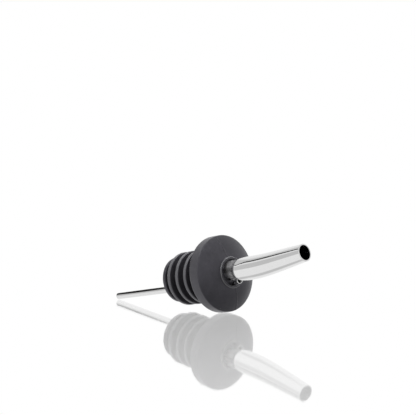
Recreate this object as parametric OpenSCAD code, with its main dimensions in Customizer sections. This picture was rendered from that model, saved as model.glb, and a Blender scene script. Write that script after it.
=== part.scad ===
// Free-flow liquor pour spout: a ribbed rubber stopper holding a tapered steel
// spout and a long steel breather tube that are soldered side by side.
// Millimetres. +Z points out of the bottle, along the stopper. The origin is
// the centre of the flange's underside, which rests on the bottle's lip.
// The spout bends toward +X and the breather runs on the -X side of it.

/* [Stopper] */
// Diameter of the flange that rests on the bottle's lip
flange_d = 31.75; // [28:0.25:36]
// Height of the flange's straight rim
rim_h = 5.25; // [4:0.25:6]
// Rounding of the rim's lower edge
rim_round = 0.9; // [0.3:0.1:1.5]
// Rounding of the rim's upper edge
brow_round = 0.35; // [0.2:0.05:0.6]
// Height of the domed face where it meets the lip, above the seat
face_h = 8.6; // [7.5:0.1:9.5]
// Crown of the domed face over a straight cone
face_crown = 0.6; // [0.3:0.1:1]
// Outside diameter of the raised lip round the recess
lip_d = 13.1; // [12.5:0.1:14]
// Thickness of the raised lip
lip_w = 1.1; // [0.8:0.1:1.4]
// Height of the lip's top above the seat
lip_h = 9.05; // [8.8:0.05:10.5]
// Depth of the recess inside the lip
recess_depth = 1.6; // [1:0.1:3]
// Length of the ribbed plug below the seat
plug_len = 23.75; // [22:0.25:28]
// Diameter of the plug between its fins
core_d = 15; // [13:0.5:17]
// Diameter of the sealing fins
fin_d = 22.6; // [20:0.1:24]
// Diameter of the smaller lead-in fin at the plug's end
nose_fin_d = 19.4; // [17.5:0.1:20]
// Thickness of a fin
fin_w = 1.75; // [1.2:0.05:2]
// Rounding of a fin's edges
fin_round = 0.5; // [0.2:0.05:0.55]
// Distance from one fin to the next
fin_pitch = 4.95; // [4:0.05:5.2]
// Number of sealing fins above the lead-in fin
fin_count = 4; // [2:1:4]

/* [Spout] */
// Outside diameter of the straight stem
stem_d = 7; // [6.4:0.1:7.2]
// Wall thickness of the spout
spout_wall = 0.5; // [0.4:0.05:0.7]
// Distance of the stem's axis from the stopper's axis
stem_offset = 1.3; // [1:0.05:1.5]
// Length of stem standing out of the plug's lower end
stem_proud = 0.75; // [0:0.25:2]
// Height above the seat where the stem starts to flare
flare_h = 11.75; // [11.75:0.25:14]
// Backward lean of the flare
lean_angle = 5; // [2:0.5:5]
// Bend radius at the start of the lean
lean_r = 10; // [10:1:30]
// Length of the flare
flare_len = 4.5; // [4:0.25:8]
// Diameter of the belly, the widest part of the spout
belly_d = 9.5; // [8.5:0.1:9.8]
// Bend radius of the belly
belly_r = 45; // [30:1:60]
// Final tilt of the nozzle from the stopper's axis
tilt_angle = 6.8; // [4:0.1:15]
// Length of the tapered nozzle
nozzle_len = 23.6; // [15:0.1:30]
// Outside diameter of the pouring end
tip_d = 6.86; // [6.4:0.02:8]

/* [Breather] */
// Outside diameter of the breather tube
breather_d = 2.9; // [2.4:0.1:3]
// Wall thickness of the breather tube
breather_wall = 0.3; // [0.25:0.05:0.4]
// Height of the open vent end above the seat
vent_h = 11.5; // [10:0.1:11.7]
// Length of breather below the seat
tail_len = 67.8; // [45:0.1:90]

/* [Fits] */
// Gap between the two tubes, filled by the solder
tube_gap = 0.1; // [0.1:0.05:0.2]
// Radial clearance of each tube in the stopper
bore_clear = 0.05; // [0.02:0.01:0.1]
// Width of the solder seam across the two tubes
solder_w = 2.4; // [1.8:0.1:2.8]

/* [Hidden] */
$fn = 96;
// overlap that keeps cutting faces off each other
cut = 1;

breather_offset = (stem_d + breather_d)/2 + tube_gap - stem_offset;
lip_round = lip_w/2;
fin_low = -plug_len + fin_w/2;
fin_first = fin_low + fin_pitch;
recess_floor = lip_h - recess_depth;
seam_clear = 0.3;
seam_low = recess_floor + seam_clear;
seam_high = vent_h - 3*seam_clear;
web_w = 1.6;
// each straight piece of the spout laps over the elbow before and after it,
// and the elbow is a hair thinner, so that the pieces join cleanly
lap = 0.05;
hair = 0.01;

// centre of the arc that crowns the domed face
rim_top = [flange_d/2 - brow_round, rim_h];
face_top = [lip_d/2 - lip_round, face_h];
chord = norm(rim_top - face_top);
crown_r = chord*chord/(8*face_crown) + face_crown/2;
chord_dir = (rim_top - face_top)/chord;
crown_centre = (rim_top + face_top)/2 + (crown_r - face_crown)*[chord_dir[1], -chord_dir[0]];

rubber = "#3d4045";
steel = "#c9ccd0";
solder = "#9a9da0";

// ---- outlines, turned about Z ----

// half outline of a disc of radius r and height h, its lower and upper edge
// rounded by low and high
module rounded_disc(r, h, low, high) {
    square([r - max(low, high), h]);
    translate([0, low]) square([r, h - low - high]);
    translate([r - low, low]) circle(low);
    translate([r - high, h - high]) circle(high);
}

module fin_outline(d, height) {
    translate([0, height - fin_w/2]) rounded_disc(d/2, fin_w, fin_round, fin_round);
}

// the domed face, from the rim in to the lip
module face_outline() {
    intersection() {
        translate(crown_centre) circle(crown_r);
        translate([0, rim_round]) square([rim_top[0], face_h - rim_round]);
    }
}

module lip_outline() {
    translate([face_top[0] - lip_round, 0]) square([lip_w, lip_h - lip_round]);
    translate([face_top[0], lip_h - lip_round]) circle(lip_round);
}

module stopper_outline() {
    difference() {
        union() {
            rounded_disc(flange_d/2, rim_h, rim_round, brow_round);
            face_outline();
            lip_outline();
        }
        translate([0, recess_floor]) square([lip_d/2 - lip_w, lip_h]);
    }
    translate([0, -plug_len + fin_w/2]) square([core_d/2, plug_len]);
    fin_outline(nose_fin_d, fin_low);
    for (i = [0 : fin_count - 1])
        fin_outline(fin_d, fin_first + i*fin_pitch);
}

// ---- spout path: each piece starts at the origin, heading +Z ----

// round bar bent toward +X, or toward -X when angle is negative
module elbow(r, bend_r, angle) {
    mirror([angle < 0 ? 1 : 0, 0, 0])
        translate([bend_r, 0, 0])
            rotate([90, 0, 180])
                rotate_extrude(angle = abs(angle))
                    translate([bend_r, 0]) circle(r - hair);
}

// moves its children to the far end of an elbow
module after_elbow(bend_r, angle) {
    side = angle < 0 ? -1 : 1;
    translate([side*bend_r*(1 - cos(angle)), 0, bend_r*sin(abs(angle))])
        rotate([0, angle, 0]) children();
}

// straight round bar that lengthens each end by the given laps
module straight(len, r1, r2, lap1, lap2) {
    translate([0, 0, -lap1]) cylinder(h = len + lap1 + lap2, r1 = r1, r2 = r2);
}

// the whole spout as a solid bar; shrink is taken off every radius to give
// its bore, and over lengthens the two open ends
module spout_bar(shrink, over) {
    stem_r = stem_d/2 - shrink;
    belly = belly_d/2 - shrink;
    tip_r = tip_d/2 - shrink;
    stem_len = plug_len + stem_proud + flare_h;
    bend = lean_angle + tilt_angle;
    translate([stem_offset, 0, flare_h]) {
        translate([0, 0, -stem_len]) straight(stem_len, stem_r, stem_r, over, lap);
        elbow(stem_r, lean_r, -lean_angle);
        after_elbow(lean_r, -lean_angle) {
            straight(flare_len, stem_r, belly, lap, lap);
            translate([0, 0, flare_len]) {
                elbow(belly, belly_r, bend);
                after_elbow(belly_r, bend) straight(nozzle_len, belly, tip_r, lap, over);
            }
        }
    }
}

// ---- sub-parts ----

module stopper() {
    color(rubber)
        difference() {
            rotate_extrude() stopper_outline();
            translate([stem_offset, 0, -plug_len - cut])
                cylinder(h = plug_len + lip_h, d = stem_d + 2*bore_clear);
            translate([-breather_offset, 0, -plug_len - cut])
                cylinder(h = plug_len + lip_h, d = breather_d + 2*bore_clear);
            // the web between the two bores is open, so both tubes lie in one keyhole
            translate([-breather_offset, -web_w/2, -plug_len - cut])
                cube([breather_offset + stem_offset, web_w, plug_len + lip_h]);
        }
}

module spout_tube() {
    color(steel)
        difference() {
            spout_bar(0, 0);
            spout_bar(spout_wall, cut);
        }
}

module breather_tube() {
    color(steel)
        translate([-breather_offset, 0, -tail_len])
            difference() {
                cylinder(h = tail_len + vent_h, d = breather_d);
                translate([0, 0, -cut])
                    cylinder(h = tail_len + vent_h + 2*cut, d = breather_d - 2*breather_wall);
            }
}

// bead that fills the groove on both sides of where the tubes lie together
module solder_seam() {
    seam_x = -breather_offset + breather_d/2;
    color(solder)
        difference() {
            translate([seam_x, 0, seam_low])
                cylinder(h = seam_high - seam_low, d = solder_w);
            translate([stem_offset, 0, seam_low - cut])
                cylinder(h = seam_high - seam_low + 2*cut, d = stem_d);
            translate([-breather_offset, 0, seam_low - cut])
                cylinder(h = seam_high - seam_low + 2*cut, d = breather_d);
        }
}

stopper();
spout_tube();
breather_tube();
solder_seam();
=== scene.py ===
"""Looks of the liquor pour spout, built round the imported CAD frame.

The row frame is metres, +Z out of the bottle along the stopper, the origin in the middle of the
flange's underside, and the spout bent toward +X. Sizes below are millimetres unless a name says
otherwise, and MM turns them into metres where a mesh is made.
"""

import math

import bmesh
import bpy
from mathutils import Matrix, Vector, noise


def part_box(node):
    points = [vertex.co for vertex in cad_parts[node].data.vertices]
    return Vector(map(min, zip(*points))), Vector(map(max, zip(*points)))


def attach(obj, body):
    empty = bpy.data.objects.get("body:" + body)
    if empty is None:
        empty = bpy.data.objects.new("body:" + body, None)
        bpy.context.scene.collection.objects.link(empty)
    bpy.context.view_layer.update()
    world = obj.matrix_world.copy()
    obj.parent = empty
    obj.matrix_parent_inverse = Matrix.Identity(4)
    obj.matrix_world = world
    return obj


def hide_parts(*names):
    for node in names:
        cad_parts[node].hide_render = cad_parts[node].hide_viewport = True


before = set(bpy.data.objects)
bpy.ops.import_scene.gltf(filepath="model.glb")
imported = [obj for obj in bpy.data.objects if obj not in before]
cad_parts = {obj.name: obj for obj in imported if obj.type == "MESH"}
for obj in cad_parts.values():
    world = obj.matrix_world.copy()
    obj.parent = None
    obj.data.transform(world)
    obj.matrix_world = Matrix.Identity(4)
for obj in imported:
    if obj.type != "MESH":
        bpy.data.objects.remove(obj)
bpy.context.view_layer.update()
MM = 0.001

# ---- sizes taken from the frame ----

STOPPER_LOW, STOPPER_HIGH = (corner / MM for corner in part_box("stopper"))
SPOUT_LOW, SPOUT_HIGH = (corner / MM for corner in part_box("spout_tube"))
BREATHER_LOW, BREATHER_HIGH = (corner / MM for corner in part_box("breather_tube"))
BEAD_LOW, BEAD_HIGH = (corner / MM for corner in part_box("solder_seam"))

FLANGE_R = STOPPER_HIGH.x
LIP_TOP = STOPPER_HIGH.z
PLUG_END = STOPPER_LOW.z
BREATHER_R = (BREATHER_HIGH.x - BREATHER_LOW.x) / 2
BREATHER_X = (BREATHER_HIGH.x + BREATHER_LOW.x) / 2

# ---- stopper ----

RIM_H = 5.25
RIM_ROUND = 0.9
BROW_ROUND = 0.35
FACE_H = 8.6
FACE_CROWN = 0.6
LIP_R = 6.55
LIP_W = 1.1
LIP_ROUND = 0.3
RECESS_DEPTH = 1.6
CORE_R = 7.5
FIN_R = 11.3
NOSE_FIN_R = 9.7
FIN_W = 1.75
FIN_ROOT_W = 2.3
FIN_ROUND = 0.5
FIN_PITCH = 4.95
FIN_COUNT = 4
ROOT_FILLET = 0.6
WEB_W = 1.6
BORE_CLEAR = 0.05

# ---- tubes ----

STEM_R = 3.5
STEM_X = 1.3
SPOUT_WALL = 0.5
SPOUT_EDGE = 0.14
SPOUT_SIDES = 128
BREATHER_WALL = 0.3
BREATHER_EDGE = 0.1
BREATHER_SIDES = 64
# height, distance from the stopper's axis, and slope of the spout's centreline
SPOUT_PATH = (
    (-30.0, 1.30, 0.0),
    (7.0, 1.30, 0.0),
    (10.5, 0.97, -0.03),
    (12.5, 0.90, -0.10),
    (14.2, 0.68, -0.07),
    (16.0, 0.665, 0.015),
    (20.0, 0.735, 0.02),
    (25.0, 0.937, 0.062),
    (30.0, 1.344, 0.098),
    (36.0, 2.015, 0.118),
    (43.0, 2.879, 0.126),
    (52.0, 4.03, 0.128),
)
# height, outside radius in the plane of the bend, and slope of the radius
SPOUT_PROFILE = (
    (-30.0, 3.50, 0.0),
    (7.0, 3.50, 0.0),
    (10.0, 3.88, 0.01),
    (12.3, 3.92, 0.04),
    (14.2, 4.35, 0.18),
    (16.0, 4.59, 0.09),
    (18.0, 4.73, 0.045),
    (20.5, 4.77, 0.0),
    (25.0, 4.68, -0.03),
    (30.0, 4.49, -0.045),
    (36.0, 4.20, -0.052),
    (43.0, 3.84, -0.056),
    (52.0, 3.28, -0.066),
)
# height, and depth of the bump that carries the light over the swaged shoulder; the outline stays
SHOULDER = (
    (12.6, 1.27),
    (13.3, 1.25),
    (14.0, 1.13),
    (14.8, 0.92),
    (15.6, 0.69),
    (16.4, 0.47),
    (17.2, 0.31),
    (18.0, 0.185),
    (19.0, 0.09),
    (20.0, 0.03),
    (21.0, 0.005),
    (22.0, 0.0),
)
BELLY_FROM = 8.0
NOZZLE_TILT = 0.128
# the soldered vent end is squeezed flat against the spout: where that starts, the mouth's half
# width square to the bend and in its plane, and how far the mouth is drawn up
SQUEEZE_FROM = 6.5
MOUTH_HALF_Y = 1.7
MOUTH_HALF_X = 1.2
MOUTH_RISE = 0.8

# ---- the surface that the pourer lies on, and the camera ----

# the pourer rests on its flange's rim and on the breather's end
FLOOR_LEAN = math.radians(8.82)
FLOOR_ROLL = math.radians(9.36)
CAMERA_AT = Vector((38.8, 288.4, 303.6)) * MM
CAMERA_LOOKS = Vector((-0.0260, -0.6931, -0.7203))
CAMERA_UP = Vector((0.9727, -0.1837, 0.1416))
LENS = 87.5


# ---- shape helpers ----


def smooth_step(low, high, value):
    t = min(1.0, max(0.0, (value - low) / (high - low)))
    return t * t * (3 - 2 * t)


def hermite(points, at):
    """Value and slope at a place on a curve through points of (place, value, slope)."""
    for (x0, y0, m0), (x1, y1, m1) in zip(points, points[1:]):
        if at <= x1:
            break
    span = x1 - x0
    t = (at - x0) / span
    value = (
        (2 * t**3 - 3 * t**2 + 1) * y0
        + (t**3 - 2 * t**2 + t) * span * m0
        + (3 * t**2 - 2 * t**3) * y1
        + (t**3 - t**2) * span * m1
    )
    slope = (
        (6 * t**2 - 6 * t) * (y0 - y1) / span
        + (3 * t**2 - 4 * t + 1) * m0
        + (3 * t**2 - 2 * t) * m1
    )
    return value, slope


def spread(low, high, count):
    """count + 1 evenly spaced values from low to high."""
    return [low + (high - low) * i / count for i in range(count + 1)]


def arc(centre, radius, start, end, count):
    """Points of an arc, angles in radians."""
    return [
        (centre[0] + radius * math.cos(a), centre[1] + radius * math.sin(a))
        for a in spread(start, end, count)
    ]


def round_corners(corners, steps=7):
    """Outline through corners of (x, y, rounding), each rounding an arc tangent to both sides."""
    outline = []
    for i, (x, y, rounding) in enumerate(corners):
        if rounding == 0 or i in (0, len(corners) - 1):
            outline.append((x, y))
            continue
        here = Vector((x, y))
        back = (Vector(corners[i - 1][:2]) - here).normalized()
        ahead = (Vector(corners[i + 1][:2]) - here).normalized()
        half = back.angle(ahead) / 2
        centre = here + (back + ahead).normalized() * rounding / math.sin(half)
        reach = rounding / math.tan(half)
        first = here + back * reach - centre
        last = here + ahead * reach - centre
        turn = first.angle_signed(last)
        start = math.atan2(first.y, first.x)
        outline += arc(centre, rounding, start, start - turn, steps)
    return outline


# degrees beyond which a crease stays sharp
MOULDED_SHARP = 40
TUBE_SHARP = 70
SOLDER_SHARP = 50


def shade_smooth(mesh, sharp):
    """Smooth shading with creases of more than sharp degrees left sharp."""
    mesh.polygons.foreach_set("use_smooth", [True] * len(mesh.polygons))
    mesh.set_sharp_from_angle(angle=math.radians(sharp))


def make_object(name, verts, faces, material, sharp):
    """A smooth-shaded mesh object from vertices in millimetres."""
    mesh = bpy.data.meshes.new(name)
    mesh.from_pydata([Vector(v) * MM for v in verts], [], faces)
    mesh.validate()
    tidy = bmesh.new()
    tidy.from_mesh(mesh)
    bmesh.ops.recalc_face_normals(tidy, faces=tidy.faces)
    tidy.to_mesh(mesh)
    tidy.free()
    shade_smooth(mesh, sharp)
    mesh.materials.append(material)
    obj = bpy.data.objects.new(name, mesh)
    bpy.context.scene.collection.objects.link(obj)
    return obj


def stack_faces(rows, columns, close_rows=False):
    """Quads between closed rings of columns points each.

    close_rows joins the last ring to the first.
    """
    faces = []
    for i in range(rows if close_rows else rows - 1):
        low = i * columns
        high = (i + 1) % rows * columns
        for j in range(columns):
            k = (j + 1) % columns
            faces.append((low + j, low + k, high + k, high + j))
    return faces


def bar_along_z(outline, low, high):
    """Vertices and faces of a closed prism of a 2D outline."""
    count = len(outline)
    verts = [(x, y, z) for z in (low, high) for x, y in outline]
    faces = stack_faces(2, count)
    faces.append(tuple(range(count)))
    faces.append(tuple(range(2 * count - 1, count - 1, -1)))
    return verts, faces


# ---- materials ----


class Nodes:
    """Short forms for building a node tree."""

    def __init__(self, tree):
        self.tree = tree

    def add(self, kind, **settings):
        node = self.tree.nodes.new(kind)
        for key, value in settings.items():
            setattr(node, key, value)
        return node

    def join(self, source, target):
        self.tree.links.new(source, target)

    def feed(self, socket, value):
        if isinstance(value, bpy.types.NodeSocket):
            self.join(value, socket)
        else:
            socket.default_value = value

    def math(self, operation, a, b=0.0, clamp=False):
        node = self.add("ShaderNodeMath", operation=operation, use_clamp=clamp)
        self.feed(node.inputs[0], a)
        self.feed(node.inputs[1], b)
        return node.outputs[0]

    def times(self, *values):
        """Product of the values."""
        product = values[0]
        for value in values[1:]:
            product = self.math("MULTIPLY", product, value)
        return product

    def plus(self, *values):
        """Sum of the values."""
        total = values[0]
        for value in values[1:]:
            total = self.math("ADD", total, value)
        return total

    def ramp(self, value, low, high, to_low=0.0, to_high=1.0):
        """Smooth change from to_low at low to to_high at high."""
        node = self.add("ShaderNodeMapRange", interpolation_type="SMOOTHSTEP")
        self.feed(node.inputs["Value"], value)
        node.inputs["From Min"].default_value = low
        node.inputs["From Max"].default_value = high
        node.inputs["To Min"].default_value = to_low
        node.inputs["To Max"].default_value = to_high
        return node.outputs["Result"]

    def ramp_line(self, value, low, high):
        """0 at low to 1 at high in a straight line."""
        node = self.add("ShaderNodeMapRange")
        self.feed(node.inputs["Value"], value)
        node.inputs["From Min"].default_value = low
        node.inputs["From Max"].default_value = high
        return node.outputs["Result"]

    def band(self, value, low, high, edge):
        """1 between low and high, falling to 0 over edge on each side."""
        rise = self.ramp(value, low - edge, low + edge)
        fall = self.ramp(value, high - edge, high + edge, 1.0, 0.0)
        return self.times(rise, fall)

    def mix(self, factor, a, b):
        node = self.add("ShaderNodeMix", data_type="RGBA")
        self.feed(node.inputs["Factor"], factor)
        self.feed(node.inputs[6], a)
        self.feed(node.inputs[7], b)
        return node.outputs[2]

    def place(self, stretch=(1, 1, 1)):
        """Place on the object in millimetres, divided by stretch."""
        where = self.add("ShaderNodeTexCoord")
        scale = self.add("ShaderNodeMapping")
        scale.inputs["Scale"].default_value = [1 / MM / s for s in stretch]
        self.join(where.outputs["Object"], scale.inputs["Vector"])
        return scale.outputs["Vector"]

    def noise(self, where, size, detail=3.0, roughness=0.5):
        """Noise whose lumps are about size millimetres."""
        node = self.add("ShaderNodeTexNoise")
        self.join(where, node.inputs["Vector"])
        node.inputs["Scale"].default_value = 1 / size
        node.inputs["Detail"].default_value = detail
        node.inputs["Roughness"].default_value = roughness
        return node.outputs["Fac"]

    def bump(self, height, depth, strength=1.0, normal=None):
        """Bump of depth millimetres."""
        node = self.add("ShaderNodeBump")
        node.inputs["Strength"].default_value = strength
        node.inputs["Distance"].default_value = depth * MM
        self.join(height, node.inputs["Height"])
        if normal is not None:
            self.join(normal, node.inputs["Normal"])
        return node.outputs["Normal"]


def new_material(name):
    material = bpy.data.materials.new(name)
    material.use_nodes = True
    nodes = Nodes(material.node_tree)
    shader = material.node_tree.nodes["Principled BSDF"]
    return material, nodes, shader


def grey(level, tint=(1.0, 1.0, 1.0)):
    return (level * tint[0], level * tint[1], level * tint[2], 1.0)


# colours: charcoal rubber between its mottles, dust on it, and painted highlights with wear
RUBBER_TINT = (1.0, 0.96, 1.08)
RUBBER_DARK = grey(0.017, RUBBER_TINT)
RUBBER_PALE = grey(0.028, RUBBER_TINT)
DUST = grey(0.22)
# the lighter grey: a painted highlight on the lip's edges, wear and painted highlight on crests and
# rim
HIGHLIGHT_AND_WEAR_GREY = grey(0.16)
# how much painted highlight and wear each place takes
LIP_PAINTED_HIGHLIGHT = 0.8
LIP_INNER_PAINTED_HIGHLIGHT = 0.48
FIN_WEAR_AND_HIGHLIGHT = 0.4
RIM_WEAR_AND_HIGHLIGHT = 0.08
RUBBER_ROUGH = (0.38, 0.48)
RUBBER_GLOSS = 0.62
RUBBER_GLOSS_TINT = grey(1.0, (0.99, 0.97, 1.12))
BLOOM_WEIGHT = 0.28
BLOOM_ROUGH = 0.25
BLOOM_TINT = grey(1.0, (0.95, 0.94, 1.0))
# depth of the moulding's grain and of its slow waves
GRAIN_DEPTH = 0.012
SWELL_DEPTH = 0.05


def dust_specks(nodes, where):
    """How dusty each place is: a few round specks in scattered cells."""
    specks = nodes.add("ShaderNodeTexVoronoi")
    nodes.join(where, specks.inputs["Vector"])
    specks.inputs["Scale"].default_value = 0.55
    pick = nodes.add("ShaderNodeSeparateColor")
    nodes.join(specks.outputs["Color"], pick.inputs["Color"])
    near = nodes.ramp(specks.outputs["Distance"], 0.05, 0.12, 1.0, 0.0)
    chosen = nodes.ramp(pick.outputs[0], 0.86, 0.88)
    return nodes.times(near, chosen, 0.5)


def painted_highlights_and_wear(nodes, where):
    """Painted highlight on the lip's edges; wear and painted highlight on the fins' crests and the
    flange's rim.
    """
    split = nodes.add("ShaderNodeSeparateXYZ")
    nodes.join(where, split.inputs[0])
    flat = nodes.add("ShaderNodeCombineXYZ")
    nodes.join(split.outputs["X"], flat.inputs["X"])
    nodes.join(split.outputs["Y"], flat.inputs["Y"])
    reach = nodes.add("ShaderNodeVectorMath", operation="LENGTH")
    nodes.join(flat.outputs[0], reach.inputs[0])
    radius = reach.outputs["Value"]
    height = split.outputs["Z"]

    on_top = nodes.ramp(height, LIP_TOP - 0.3, LIP_TOP - 0.1)
    below_seat = nodes.ramp(height, -0.9, -0.5, 1.0, 0.0)
    recess_r = LIP_R - LIP_W
    lip = nodes.band(radius, LIP_R - 0.3, LIP_R - 0.02, 0.1)
    lip_inner = nodes.band(radius, recess_r + 0.02, recess_r + 0.2, 0.08)
    fins = nodes.ramp(radius, FIN_R - 0.4, FIN_R - 0.05)
    rim = nodes.ramp(radius, FLANGE_R - 0.5, FLANGE_R - 0.05)
    return nodes.plus(
        nodes.times(lip, on_top, LIP_PAINTED_HIGHLIGHT),
        nodes.times(lip_inner, on_top, LIP_INNER_PAINTED_HIGHLIGHT),
        nodes.times(fins, below_seat, FIN_WEAR_AND_HIGHLIGHT),
        nodes.times(rim, RIM_WEAR_AND_HIGHLIGHT),
    )


def rubber_material():
    """Moulded charcoal rubber: satin, softly mottled, with a fine grain and a few dust specks."""
    material, nodes, shader = new_material("moulded_rubber")
    where = nodes.place()
    mottle = nodes.noise(where, 3.5, 4.0, 0.6)
    bloom = nodes.noise(where, 0.9, 3.0, 0.55)
    cloud = nodes.plus(nodes.times(mottle, 0.7), nodes.times(bloom, 0.3))
    base = nodes.mix(nodes.ramp(cloud, 0.3, 0.7), RUBBER_DARK, RUBBER_PALE)
    dusty = nodes.mix(dust_specks(nodes, where), base, DUST)
    # the lighter grey mixed in here is painted highlight on the lip, and wear with painted
    # highlight on crests and rim
    colour = nodes.mix(painted_highlights_and_wear(nodes, where), dusty, HIGHLIGHT_AND_WEAR_GREY)
    nodes.join(colour, shader.inputs["Base Color"])

    nodes.join(nodes.ramp(bloom, 0.25, 0.75, *RUBBER_ROUGH), shader.inputs["Roughness"])
    shader.inputs["Specular IOR Level"].default_value = RUBBER_GLOSS
    shader.inputs["Specular Tint"].default_value = RUBBER_GLOSS_TINT
    shader.inputs["Sheen Weight"].default_value = BLOOM_WEIGHT
    shader.inputs["Sheen Roughness"].default_value = BLOOM_ROUGH
    shader.inputs["Sheen Tint"].default_value = BLOOM_TINT
    grain = nodes.noise(where, 0.16, 2.0)
    swell = nodes.noise(where, 2.4, 2.0)
    normal = nodes.bump(grain, GRAIN_DEPTH)
    nodes.join(nodes.bump(swell, SWELL_DEPTH, 0.6, normal), shader.inputs["Normal"])
    return material


# the spout's dull stem: its colour, painted lighter; its painted reflection, a dark band, and where
# that lies across it; and its roughness
STEM_PAINTED_LIGHTER_GREY = grey(0.95)
PAINTED_REFLECTION_GREY = grey(0.12)
PAINTED_REFLECTION_ACROSS = (0.5, 2.5)
PAINTED_REFLECTION_EDGE = 0.6
PAINTED_REFLECTION_STRENGTH = 0.7
STEM_ROUGHER = 0.33
# millimetres above the shoulder's start over which the stem's colour and its roughness fade out
COLOUR_FADE = 1.0
ROUGH_FADE = (-0.6, 3.6)
# turned marks round the spout's base: depth, and heights between which they lie
TURNED_DEPTH = 0.016
TURNED_FROM = 8.0
TURNED_TO = 23.0
# how much darker steel is between its clouds
STEEL_CLOUD = 0.96


def table_curve(nodes, value, table):
    """A smooth curve through a table of (place, level), its top set to 1, and the largest level."""
    low, high = table[0][0], table[-1][0]
    largest = max(level for _, level in table)
    shape = nodes.add("ShaderNodeFloatCurve")
    nodes.join(nodes.ramp_line(value, low, high), shape.inputs["Value"])
    points = shape.mapping.curves[0].points
    for place, level in table[1:-1]:
        points.new((place - low) / (high - low), level / largest)
    points[0].location = (0.0, table[0][1] / largest)
    points[-1].location = (1.0, table[-1][1] / largest)
    shape.mapping.update()
    return shape.outputs[0], largest


def steel_material(name, base, roughness, draw_depth, shoulder=()):
    """Polished stainless steel with faint draw lines along the tube.

    base is its grey, roughness its least and most, and draw_depth the depth of the draw lines.
    shoulder is a table of height and depth. Below it the steel is dull, painted a lighter grey, and
    carries a dark band that is a painted reflection, and round it are turned marks.
    """
    material, nodes, shader = new_material(name)
    along = nodes.place((1, 1, 40))
    lines = nodes.noise(along, 0.22, 3.0, 0.6)
    cloud = nodes.noise(nodes.place(), 2.6, 3.0)
    colour = nodes.mix(cloud, grey(base * STEEL_CLOUD), grey(base))
    shader.inputs["Metallic"].default_value = 1.0
    wear = nodes.plus(nodes.times(lines, 0.6), nodes.times(cloud, 0.4))
    rough = nodes.ramp(wear, 0.3, 0.7, *roughness)
    normal = nodes.bump(lines, draw_depth)
    if shoulder:
        split = nodes.add("ShaderNodeSeparateXYZ")
        nodes.join(nodes.place(), split.inputs[0])
        height = split.outputs["Z"]
        swage, depth = table_curve(nodes, height, shoulder)
        normal = nodes.bump(swage, depth, normal=normal)
        turned = nodes.noise(nodes.place((60, 60, 1)), 0.45, 3.0, 0.6)
        zone = nodes.band(height, TURNED_FROM, TURNED_TO, 2.5)
        normal = nodes.bump(nodes.times(turned, zone), TURNED_DEPTH, normal=normal)

        start = shoulder[0][0]
        fade_from, fade_to = (start + off for off in ROUGH_FADE)
        rough = nodes.plus(rough, nodes.ramp(height, fade_from, fade_to, STEM_ROUGHER, 0.0))
        # painted light on the stem: a lighter grey, and a dark band along its middle that is a
        # painted reflection
        stem = nodes.ramp(height, start, start + COLOUR_FADE, 1.0, 0.0)
        painted_reflection_band = nodes.band(split.outputs["X"], *PAINTED_REFLECTION_ACROSS, PAINTED_REFLECTION_EDGE)
        colour = nodes.mix(stem, colour, STEM_PAINTED_LIGHTER_GREY)
        colour = nodes.mix(nodes.times(painted_reflection_band, stem, PAINTED_REFLECTION_STRENGTH), colour, PAINTED_REFLECTION_GREY)
    nodes.join(colour, shader.inputs["Base Color"])
    nodes.join(rough, shader.inputs["Roughness"])
    nodes.join(normal, shader.inputs["Normal"])
    return material


# solder's colours where flux is left and where it is clean, its roughness, and depth of its lumps
FLUX = grey(0.3)
CLEAN_SOLDER = grey(0.9)
SOLDER_ROUGH = (0.12, 0.3)
LUMP_DEPTH = 0.3


def solder_material():
    """Dull, lumpy solder, darker where flux is left."""
    material, nodes, shader = new_material("silver_solder")
    where = nodes.place()
    lumps = nodes.noise(where, 0.42, 3.0, 0.55)
    stain = nodes.noise(where, 1.1, 3.0, 0.6)
    colour = nodes.mix(nodes.ramp(stain, 0.35, 0.65), FLUX, CLEAN_SOLDER)
    nodes.join(colour, shader.inputs["Base Color"])
    shader.inputs["Metallic"].default_value = 1.0
    nodes.join(nodes.ramp(lumps, 0.3, 0.7, *SOLDER_ROUGH), shader.inputs["Roughness"])
    nodes.join(nodes.bump(lumps, LUMP_DEPTH), shader.inputs["Normal"])
    return material


# ---- stopper ----

RECESS_FLOOR = LIP_TOP - RECESS_DEPTH
RECESS_FILLET = 0.4
LIP_FILLET = 0.12
FACE_STEPS = 26
# columns round the stopper, and steps round each bore of the keyhole
COLUMNS = 192
STEM_BORE_STEPS = 72
VENT_BORE_STEPS = 40
# the mould's parting line: its turn from +X, its height, and half its width in degrees
SEAM_TURN = math.radians(3.0)
SEAM_RISE = 0.1
SEAM_HALF = 1.0


def face_arc():
    """The domed face from the lip out to the rim, as in the CAD: an arc that crowns a cone."""
    outer = Vector((FLANGE_R - BROW_ROUND, RIM_H))
    inner = Vector((LIP_R - LIP_W / 2, FACE_H))
    chord = outer - inner
    radius = chord.length**2 / (8 * FACE_CROWN) + FACE_CROWN / 2
    along = chord.normalized()
    centre = (outer + inner) / 2 + (radius - FACE_CROWN) * Vector((along.y, -along.x))

    def height(r):
        return centre.y + math.sqrt(radius**2 - (r - centre.x) ** 2)

    last = FLANGE_R - BROW_ROUND
    points = [(r, height(r)) for r in spread(LIP_R, last, FACE_STEPS)]
    return points, (FLANGE_R, height(FLANGE_R))


def fin_corners(middle, radius, low_side=True):
    """Corners of one fin, from its upper root to its lower root."""
    corners = [
        (CORE_R, middle + FIN_ROOT_W / 2, ROOT_FILLET),
        (radius, middle + FIN_W / 2, FIN_ROUND),
        (radius, middle - FIN_W / 2, FIN_ROUND),
    ]
    if low_side:
        corners.append((CORE_R, middle - FIN_ROOT_W / 2, ROOT_FILLET))
    return corners


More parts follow.
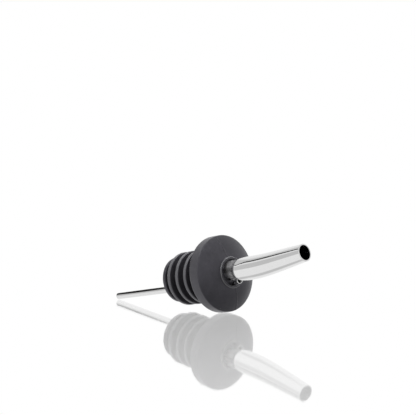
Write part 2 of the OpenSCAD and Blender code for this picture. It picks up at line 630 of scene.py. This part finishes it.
def stopper_outline():
    """Half outline of the moulding, middle of the recess to middle of the plug's end."""
    face, rim_corner = face_arc()
    recess_r = LIP_R - LIP_W
    corners = [
        (0, RECESS_FLOOR, 0),
        (recess_r, RECESS_FLOOR, RECESS_FILLET),
        (recess_r, LIP_TOP, LIP_ROUND),
        (LIP_R, LIP_TOP, LIP_ROUND),
        (*face[0], LIP_FILLET),
        *((r, z, 0) for r, z in face[1:-1]),
        (*rim_corner, BROW_ROUND),
        (FLANGE_R, 0, RIM_ROUND),
        (CORE_R, 0, ROOT_FILLET),
    ]
    nose = PLUG_END + FIN_W / 2
    for i in range(FIN_COUNT, 0, -1):
        corners += fin_corners(nose + i * FIN_PITCH, FIN_R)
    corners += fin_corners(nose, NOSE_FIN_R, low_side=False)
    corners.append((0, PLUG_END, 0))
    return round_corners(corners)


def turn_angles():
    """Angles of the stopper's columns, with extra ones where the mould's parting line runs."""
    parting = [SEAM_TURN, SEAM_TURN + math.pi]
    near = [math.radians(d) for d in (-SEAM_HALF, -0.6, -0.25, 0.25, 0.6, SEAM_HALF)]
    angles = [p + d for p in parting for d in [0.0, *near]]
    clear = math.radians(SEAM_HALF + 0.5)
    for i in range(COLUMNS):
        a = 2 * math.pi * i / COLUMNS
        if all(abs(math.remainder(a - p, 2 * math.pi)) > clear for p in parting):
            angles.append(a)
    return sorted(a % (2 * math.pi) for a in angles)


def parting_rise(angle):
    """Height of the parting line's flash at an angle round the stopper."""
    off = min(abs(math.remainder(angle - SEAM_TURN - k * math.pi, 2 * math.pi)) for k in (0, 1))
    return SEAM_RISE * (1 - smooth_step(0, math.radians(SEAM_HALF), off))


def keyhole():
    """Outline of the passage for both tubes: two bores joined by an open web."""
    stem = STEM_R + BORE_CLEAR
    vent = BREATHER_R + BORE_CLEAR
    half = WEB_W / 2
    at_stem = math.asin(half / stem)
    at_vent = math.asin(half / vent)
    right = arc((STEM_X, 0), stem, math.pi + at_stem, 3 * math.pi - at_stem, STEM_BORE_STEPS)
    left = arc((BREATHER_X, 0), vent, at_vent, 2 * math.pi - at_vent, VENT_BORE_STEPS)
    return right + left


# distance under which points that the cut left side by side become one
MERGE = 0.004


def make_stopper(material):
    """The moulding, turned from its outline with the parting line's flash, and its keyhole cut."""
    outline = stopper_outline()
    angles = turn_angles()
    columns = len(angles)
    verts = []
    for i, (r, z) in enumerate(outline[1:-1], 1):
        side = Vector(outline[i + 1]) - Vector(outline[i - 1])
        out = Vector((-side.y, side.x)).normalized()
        outside = r > LIP_R + 0.2 and z > PLUG_END + 0.1
        for a in angles:
            rise = parting_rise(a) if outside else 0.0
            rr = min(r + out.x * rise, FLANGE_R)
            verts.append((rr * math.cos(a), rr * math.sin(a), z + out.y * rise))
    rows = len(outline) - 2
    faces = stack_faces(rows, columns)
    faces.append(tuple(range(columns)))
    faces.append(tuple(range(rows * columns - 1, (rows - 1) * columns - 1, -1)))
    stopper = make_object("rubber_stopper", verts, faces, material, MOULDED_SHARP)

    bar = bar_along_z(keyhole(), PLUG_END - 1, LIP_TOP + 1)
    cutter = make_object("keyhole_cutter", *bar, material, MOULDED_SHARP)
    cut = stopper.modifiers.new("keyhole", "BOOLEAN")
    cut.operation = "DIFFERENCE"
    cut.solver = "EXACT"
    cut.object = cutter
    graph = bpy.context.evaluated_depsgraph_get()
    mesh = bpy.data.meshes.new_from_object(stopper.evaluated_get(graph))
    stopper.modifiers.clear()
    stopper.data = mesh
    tidy = bmesh.new()
    tidy.from_mesh(mesh)
    bmesh.ops.remove_doubles(tidy, verts=tidy.verts, dist=MERGE * MM)
    bmesh.ops.dissolve_degenerate(tidy, edges=tidy.edges, dist=MERGE * MM)
    tidy.to_mesh(mesh)
    tidy.free()
    shade_smooth(mesh, MOULDED_SHARP)
    bpy.data.objects.remove(cutter)
    return stopper


# ---- tubes ----


def spout_path(z):
    return hermite(SPOUT_PATH, z)


def spout_radius(z):
    return hermite(SPOUT_PROFILE, z)[0]


def tube(name, path, radius, wall, low, high, stations, edge, sides, material):
    """A tube with rounded ends, whose rings stand square to its path.

    stations are the places of the rings between the two ends, each a distance along Z, and edge is
    the rounding of both ends' edges.
    """
    # cosine and sine over a quarter turn, for the rounded edges of each end
    top = [(edge * math.cos(a), edge * math.sin(a)) for a in spread(0, math.pi / 2, 5)]
    foot = [(edge * math.cos(a), edge * math.sin(a)) for a in spread(0, math.pi / 2, 3)]
    inner = wall - edge
    # place, how far inside the outside surface, and how far past the place
    rings = [(z, 0.0, 0.0) for z in stations]
    rings += [(high, edge - c, s - edge) for c, s in top]
    rings += [(high, inner + s, c - edge) for c, s in top]
    rings += [(z, wall, 0.0) for z in reversed(stations)]
    rings += [(low, inner + c, edge - s) for c, s in foot]
    rings += [(low, edge - s, edge - c) for c, s in foot]
    verts = []
    for z, inset, push in rings:
        x, slope = path(z)
        r = radius(z) - inset
        tilt = math.atan(slope)
        centre = Vector((x + push * math.sin(tilt), 0, z + push * math.cos(tilt)))
        across = Vector((math.cos(tilt), 0, -math.sin(tilt)))
        for j in range(sides):
            a = 2 * math.pi * j / sides
            verts.append(centre + across * r * math.cos(a) + Vector((0, r * math.sin(a), 0)))
    faces = stack_faces(len(rings), sides, close_rows=True)
    return make_object(name, verts, faces, material, TUBE_SHARP)


def make_spout(material):
    tip_lift = spout_radius(SPOUT_HIGH.z) * math.sin(math.atan(NOZZLE_TILT))
    high = SPOUT_HIGH.z - tip_lift
    low = SPOUT_LOW.z
    stations = spread(low + 0.3, BELLY_FROM, 14) + spread(BELLY_FROM + 0.25, high - 0.3, 160)
    return tube(
        "steel_spout",
        spout_path,
        spout_radius,
        SPOUT_WALL,
        low,
        high,
        stations,
        SPOUT_EDGE,
        SPOUT_SIDES,
        material,
    )


def make_breather(material):
    """The breather tube, round along its tail and squeezed a little oval at its open vent end."""
    low, high = BREATHER_LOW.z, BREATHER_HIGH.z
    stations = spread(low + 0.2, high - 0.2, 60)
    breather = tube(
        "steel_breather",
        lambda z: (BREATHER_X, 0.0),
        lambda z: BREATHER_R,
        BREATHER_WALL,
        low,
        high,
        stations,
        BREATHER_EDGE,
        BREATHER_SIDES,
        material,
    )
    wide = MOUTH_HALF_Y / BREATHER_R - 1
    flat = MOUTH_HALF_X / BREATHER_R - 1
    for v in breather.data.vertices:
        share = smooth_step(SQUEEZE_FROM, high, v.co.z / MM)
        off = v.co.x / MM - BREATHER_X
        v.co.x = (BREATHER_X + off * (1 + share * flat)) * MM
        v.co.y *= 1 + share * wide
        v.co.z += share * MOUTH_RISE * MM
    return breather


# ---- solder bead in the groove between the tubes ----

BEAD_FILLET = 2.2
BEAD_SINK = 0.04
BEAD_RINGS = 36
FILLET_STEPS = 12


def fillet_side(fillet, side):
    """Arc of a fillet that touches both tubes, from the spout's stem to the breather."""
    stem = STEM_R - BEAD_SINK
    vent = BREATHER_R - BEAD_SINK
    gap = STEM_X - BREATHER_X
    a, b = stem + fillet, vent + fillet
    along = (a * a - b * b + gap * gap) / (2 * gap)
    out = math.sqrt(a * a - along * along)
    centre = Vector((STEM_X - along, side * out))
    to_stem = Vector((STEM_X, 0)) - centre
    to_vent = Vector((BREATHER_X, 0)) - centre
    start = math.atan2(to_stem.y, to_stem.x)
    turn = -to_stem.angle_signed(to_vent)
    return arc(centre, fillet, start, start + turn, FILLET_STEPS)


def make_bead(material):
    """The bead, thin at both ends, with a slow swell and finer lumps that differ on each side."""
    rings = []
    heights = spread(BEAD_LOW.z, BEAD_HIGH.z, BEAD_RINGS)
    for z in heights:
        t = (z - BEAD_LOW.z) / (BEAD_HIGH.z - BEAD_LOW.z)
        taper = max(0.12, (1 - abs(2 * t - 1) ** 5) ** 0.5)
        ring = []
        for side in (1, -1):
            lump = 1 + 0.45 * noise.noise(Vector((side * 7.3, 0.4, z * 0.9)))
            lump += 0.2 * noise.noise(Vector((side * 3.1, 5.0, z * 2.6)))
            points = fillet_side(BEAD_FILLET * taper * lump, side)
            ring += points if side > 0 else points[::-1]
        rings.append([(x, y, z) for x, y in ring])
    columns = len(rings[0])
    verts = [v for ring in rings for v in ring]
    faces = stack_faces(len(rings), columns)
    faces.append(tuple(range(columns)))
    faces.append(tuple(range(len(verts) - 1, len(verts) - 1 - columns, -1)))
    return make_object("solder_bead", verts, faces, material, SOLDER_SHARP)


# ---- the pieces, on their bodies ----

rubber = rubber_material()
steel = steel_material("polished_steel", 0.76, (0.05, 0.1), draw_depth=0.0006, shoulder=SHOULDER)
drawn_steel = steel_material("drawn_steel", 0.74, (0.07, 0.14), draw_depth=0.001)
solder = solder_material()

stopper = make_stopper(rubber)
spout = make_spout(steel)
breather = make_breather(drawn_steel)
bead = make_bead(solder)

for piece, node, body, slot in (
    (stopper, "stopper", "stopper", "rubber"),
    (spout, "spout_tube", "tubes", "polished_steel"),
    (breather, "breather_tube", "tubes", "polished_steel"),
    (bead, "solder_seam", "tubes", "solder"),
):
    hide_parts(node)
    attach(piece, body)

# ---- floor: a clear glossy sheet in a white tent ----

FLOOR_UP = Vector(
    (
        math.cos(FLOOR_LEAN) * math.cos(FLOOR_ROLL),
        -math.cos(FLOOR_LEAN) * math.sin(FLOOR_ROLL),
        math.sin(FLOOR_LEAN),
    )
)
# metres
FLOOR_SIZE = 3.0
# depth of each mirror surface of the sheet, and how much it reflects at a glancing view
SHEET = ((0.0, 0.65), (0.28, 0.32))


def lowest_point():
    """How far the pieces reach below the origin, measured along the floor's upward direction."""
    return min(v.co.dot(FLOOR_UP) for piece in (stopper, breather) for v in piece.data.vertices)


def sheet_material(shine):
    """A clear sheet that mirrors on its upper side only."""
    material, nodes, shader = new_material("glossy_sheet")
    nodes.tree.nodes.remove(shader)
    facing = nodes.add("ShaderNodeLayerWeight")
    facing.inputs["Blend"].default_value = 0.5
    glance = nodes.math("POWER", facing.outputs["Facing"], 3.0)
    clear = nodes.add("ShaderNodeBsdfTransparent")
    mirror = nodes.add("ShaderNodeBsdfGlossy")
    mirror.inputs["Color"].default_value = grey(1.0)
    mirror.inputs["Roughness"].default_value = 0.0
    blend = nodes.add("ShaderNodeMixShader")
    under = nodes.add("ShaderNodeNewGeometry").outputs["Backfacing"]
    upper = nodes.math("SUBTRACT", 1.0, under)
    nodes.join(nodes.times(glance, shine, upper), blend.inputs["Fac"])
    nodes.join(clear.outputs[0], blend.inputs[1])
    nodes.join(mirror.outputs[0], blend.inputs[2])
    nodes.join(blend.outputs[0], nodes.tree.nodes["Material Output"].inputs["Surface"])
    return material


def make_floor():
    level = lowest_point()
    half = FLOOR_SIZE / 2
    corners = [(-half, -half, 0), (half, -half, 0), (half, half, 0), (-half, half, 0)]
    for i, (depth, shine) in enumerate(SHEET):
        mesh = bpy.data.meshes.new(f"floor_{i}")
        mesh.from_pydata(corners, [], [(0, 1, 2, 3)])
        mesh.materials.append(sheet_material(shine))
        sheet = bpy.data.objects.new(f"floor_{i}", mesh)
        turn = FLOOR_UP.to_track_quat("Z", "Y").to_matrix().to_4x4()
        sheet.matrix_world = Matrix.Translation(FLOOR_UP * (level - depth * MM)) @ turn
        sheet.visible_diffuse = False
        sheet.visible_glossy = False
        sheet.visible_shadow = False
        bpy.context.scene.collection.objects.link(sheet)


make_floor()

# ---- light: a white tent, greyer at its sides, with one dark gap under its top light ----

# directions along the floor, as the camera sees them
AWAY = (CAMERA_LOOKS - FLOOR_UP * CAMERA_LOOKS.dot(FLOOR_UP)).normalized()
RIGHT = AWAY.cross(FLOOR_UP)
# how much is taken off the tent's white: at its left side, in the dark gap, above the gap, in a
# patch below the tail, and on the floor beyond the pouring end
SIDE_DIM = 0.33
GAP_DIM = 0.97
TOP_DIM = 0.3
PATCH_DIM = 0.32
FRONT_DIM = 0.6
# the patch: its direction as rise and shares away and left, and the angles of its edge and core
PATCH_RISE = math.radians(-65)
PATCH_AWAY = 0.324
PATCH_LEFT = 0.272
PATCH_EDGE = math.radians(16)
PATCH_CORE = math.radians(8)
# how the tent lights matt surfaces: from below, from the sides, and what its left side adds
SOFT_BELOW = 0.15
SOFT_LEVEL = 1.0
SOFT_LEFT = 0.7
# cosines from straight up where the overhead light starts and is full, and what it adds; polished
# metal sees the plain tent in its place, so that it never burns out against the white floor
LAMP_EDGE = 0.72
LAMP_CORE = 0.95
LAMP_GAIN = 7.0
# the black card: distance from the tail, turn from straight away, rise of its lower and upper edge,
# and half width
CARD_OFF = 110
CARD_TURN = math.radians(-43)
CARD_RISE = (math.radians(17), math.radians(40))
CARD_HALF = 72
# metres beyond which the card is not seen; the floor's mirrors never see it
CARD_REACH = 0.2


def make_world():
    """The tent: plain white to the camera and the floor's mirrors, graded for all other rays."""
    world = bpy.data.worlds.new("tent")
    bpy.context.scene.world = world
    world.use_nodes = True
    nodes = Nodes(world.node_tree)
    direction = nodes.add("ShaderNodeTexCoord").outputs["Generated"]

    def part_along(vector):
        node = nodes.add("ShaderNodeVectorMath", operation="DOT_PRODUCT")
        nodes.join(direction, node.inputs[0])
        node.inputs[1].default_value = vector
        return node.outputs["Value"]

    up = part_along(FLOOR_UP)
    right = part_along(RIGHT)
    away = part_along(AWAY)

    on_left = nodes.ramp(right, -0.75, -0.35, 1.0, 0.0)
    side_wall = nodes.times(nodes.band(up, -0.13, 0.38, 0.03), on_left)
    across = nodes.band(away, -0.7, 0.62, 0.03)
    gap = nodes.times(nodes.band(up, 0.485, 0.555, 0.012), across)
    behind = nodes.ramp(away, 0.5, 0.75, 1.0, 0.0)
    top = nodes.times(nodes.ramp(up, 0.54, 0.58), behind)
    below_tail = FLOOR_UP * math.sin(PATCH_RISE) + AWAY * PATCH_AWAY - RIGHT * PATCH_LEFT
    patch = nodes.ramp(part_along(below_tail), math.cos(PATCH_EDGE), math.cos(PATCH_CORE))
    below = nodes.ramp(up, -0.15, 0.15, 1.0, 0.0)
    low_front = nodes.times(nodes.ramp(part_along((0, 0, 1)), -0.1, 0.35), below)
    level = 1.0
    for place, dim in (
        (side_wall, SIDE_DIM),
        (gap, GAP_DIM),
        (top, TOP_DIM),
        (patch, PATCH_DIM),
        (low_front, FRONT_DIM),
    ):
        level = nodes.math("SUBTRACT", level, nodes.times(place, dim), clamp=True)
    lamp = nodes.times(nodes.ramp(up, LAMP_EDGE, LAMP_CORE), LAMP_GAIN)

    path = nodes.add("ShaderNodeLightPath")
    sides = nodes.ramp(up, -0.35, 0.25, SOFT_BELOW, SOFT_LEVEL)
    left = nodes.ramp(right, -0.95, -0.3, SOFT_LEFT, 0.0)
    lit = nodes.mix(path.outputs["Is Diffuse Ray"], level, nodes.plus(sides, lamp, left))
    plain = nodes.math("MAXIMUM", path.outputs["Is Camera Ray"], path.outputs["Is Singular Ray"])
    seen = nodes.mix(plain, lit, grey(1.0))
    background = nodes.tree.nodes["Background"]
    nodes.join(seen, background.inputs["Color"])
    background.inputs["Strength"].default_value = 1.0


def make_card():
    """A black card left of the breather's tail, seen only in reflections on the pieces."""
    middle = Vector((BREATHER_X, 0, -50)) * MM
    flat = AWAY * math.cos(CARD_TURN) + RIGHT * math.sin(CARD_TURN)
    side = flat.cross(FLOOR_UP)
    at = middle + flat * CARD_OFF * MM
    low, high = (FLOOR_UP * CARD_OFF * MM * math.tan(e) for e in CARD_RISE)
    half = side * CARD_HALF * MM
    mesh = bpy.data.meshes.new("card")
    corners = [at + low - half, at + low + half, at + high + half, at + high - half]
    mesh.from_pydata(corners, [], [(0, 1, 2, 3)])
    material, nodes, shader = new_material("black_card")
    shader.inputs["Base Color"].default_value = grey(0.01)
    shader.inputs["Roughness"].default_value = 1.0
    path = nodes.add("ShaderNodeLightPath")
    far = nodes.math("GREATER_THAN", path.outputs["Ray Length"], CARD_REACH)
    blend = nodes.add("ShaderNodeMixShader")
    nodes.join(nodes.math("MAXIMUM", far, path.outputs["Is Singular Ray"]), blend.inputs["Fac"])
    nodes.join(shader.outputs[0], blend.inputs[1])
    nodes.join(nodes.add("ShaderNodeBsdfTransparent").outputs[0], blend.inputs[2])
    nodes.join(blend.outputs[0], nodes.tree.nodes["Material Output"].inputs["Surface"])
    mesh.materials.append(material)
    card = bpy.data.objects.new("card", mesh)
    card.visible_camera = False
    card.visible_diffuse = False
    card.visible_shadow = False
    bpy.context.scene.collection.objects.link(card)


make_world()
make_card()
bpy.context.scene.view_settings.view_transform = "Standard"

# ---- camera ----


def make_camera():
    data = bpy.data.cameras.new("camera")
    data.sensor_width = 36.0
    data.lens = LENS
    data.clip_start = 0.01
    data.clip_end = 20.0
    camera = bpy.data.objects.new("camera", data)
    back = -CAMERA_LOOKS.normalized()
    side = CAMERA_UP.cross(back).normalized()
    up = back.cross(side)
    turn = Matrix((side, up, back)).transposed().to_4x4()
    camera.matrix_world = Matrix.Translation(CAMERA_AT) @ turn
    bpy.context.scene.collection.objects.link(camera)
    bpy.context.scene.camera = camera


make_camera()
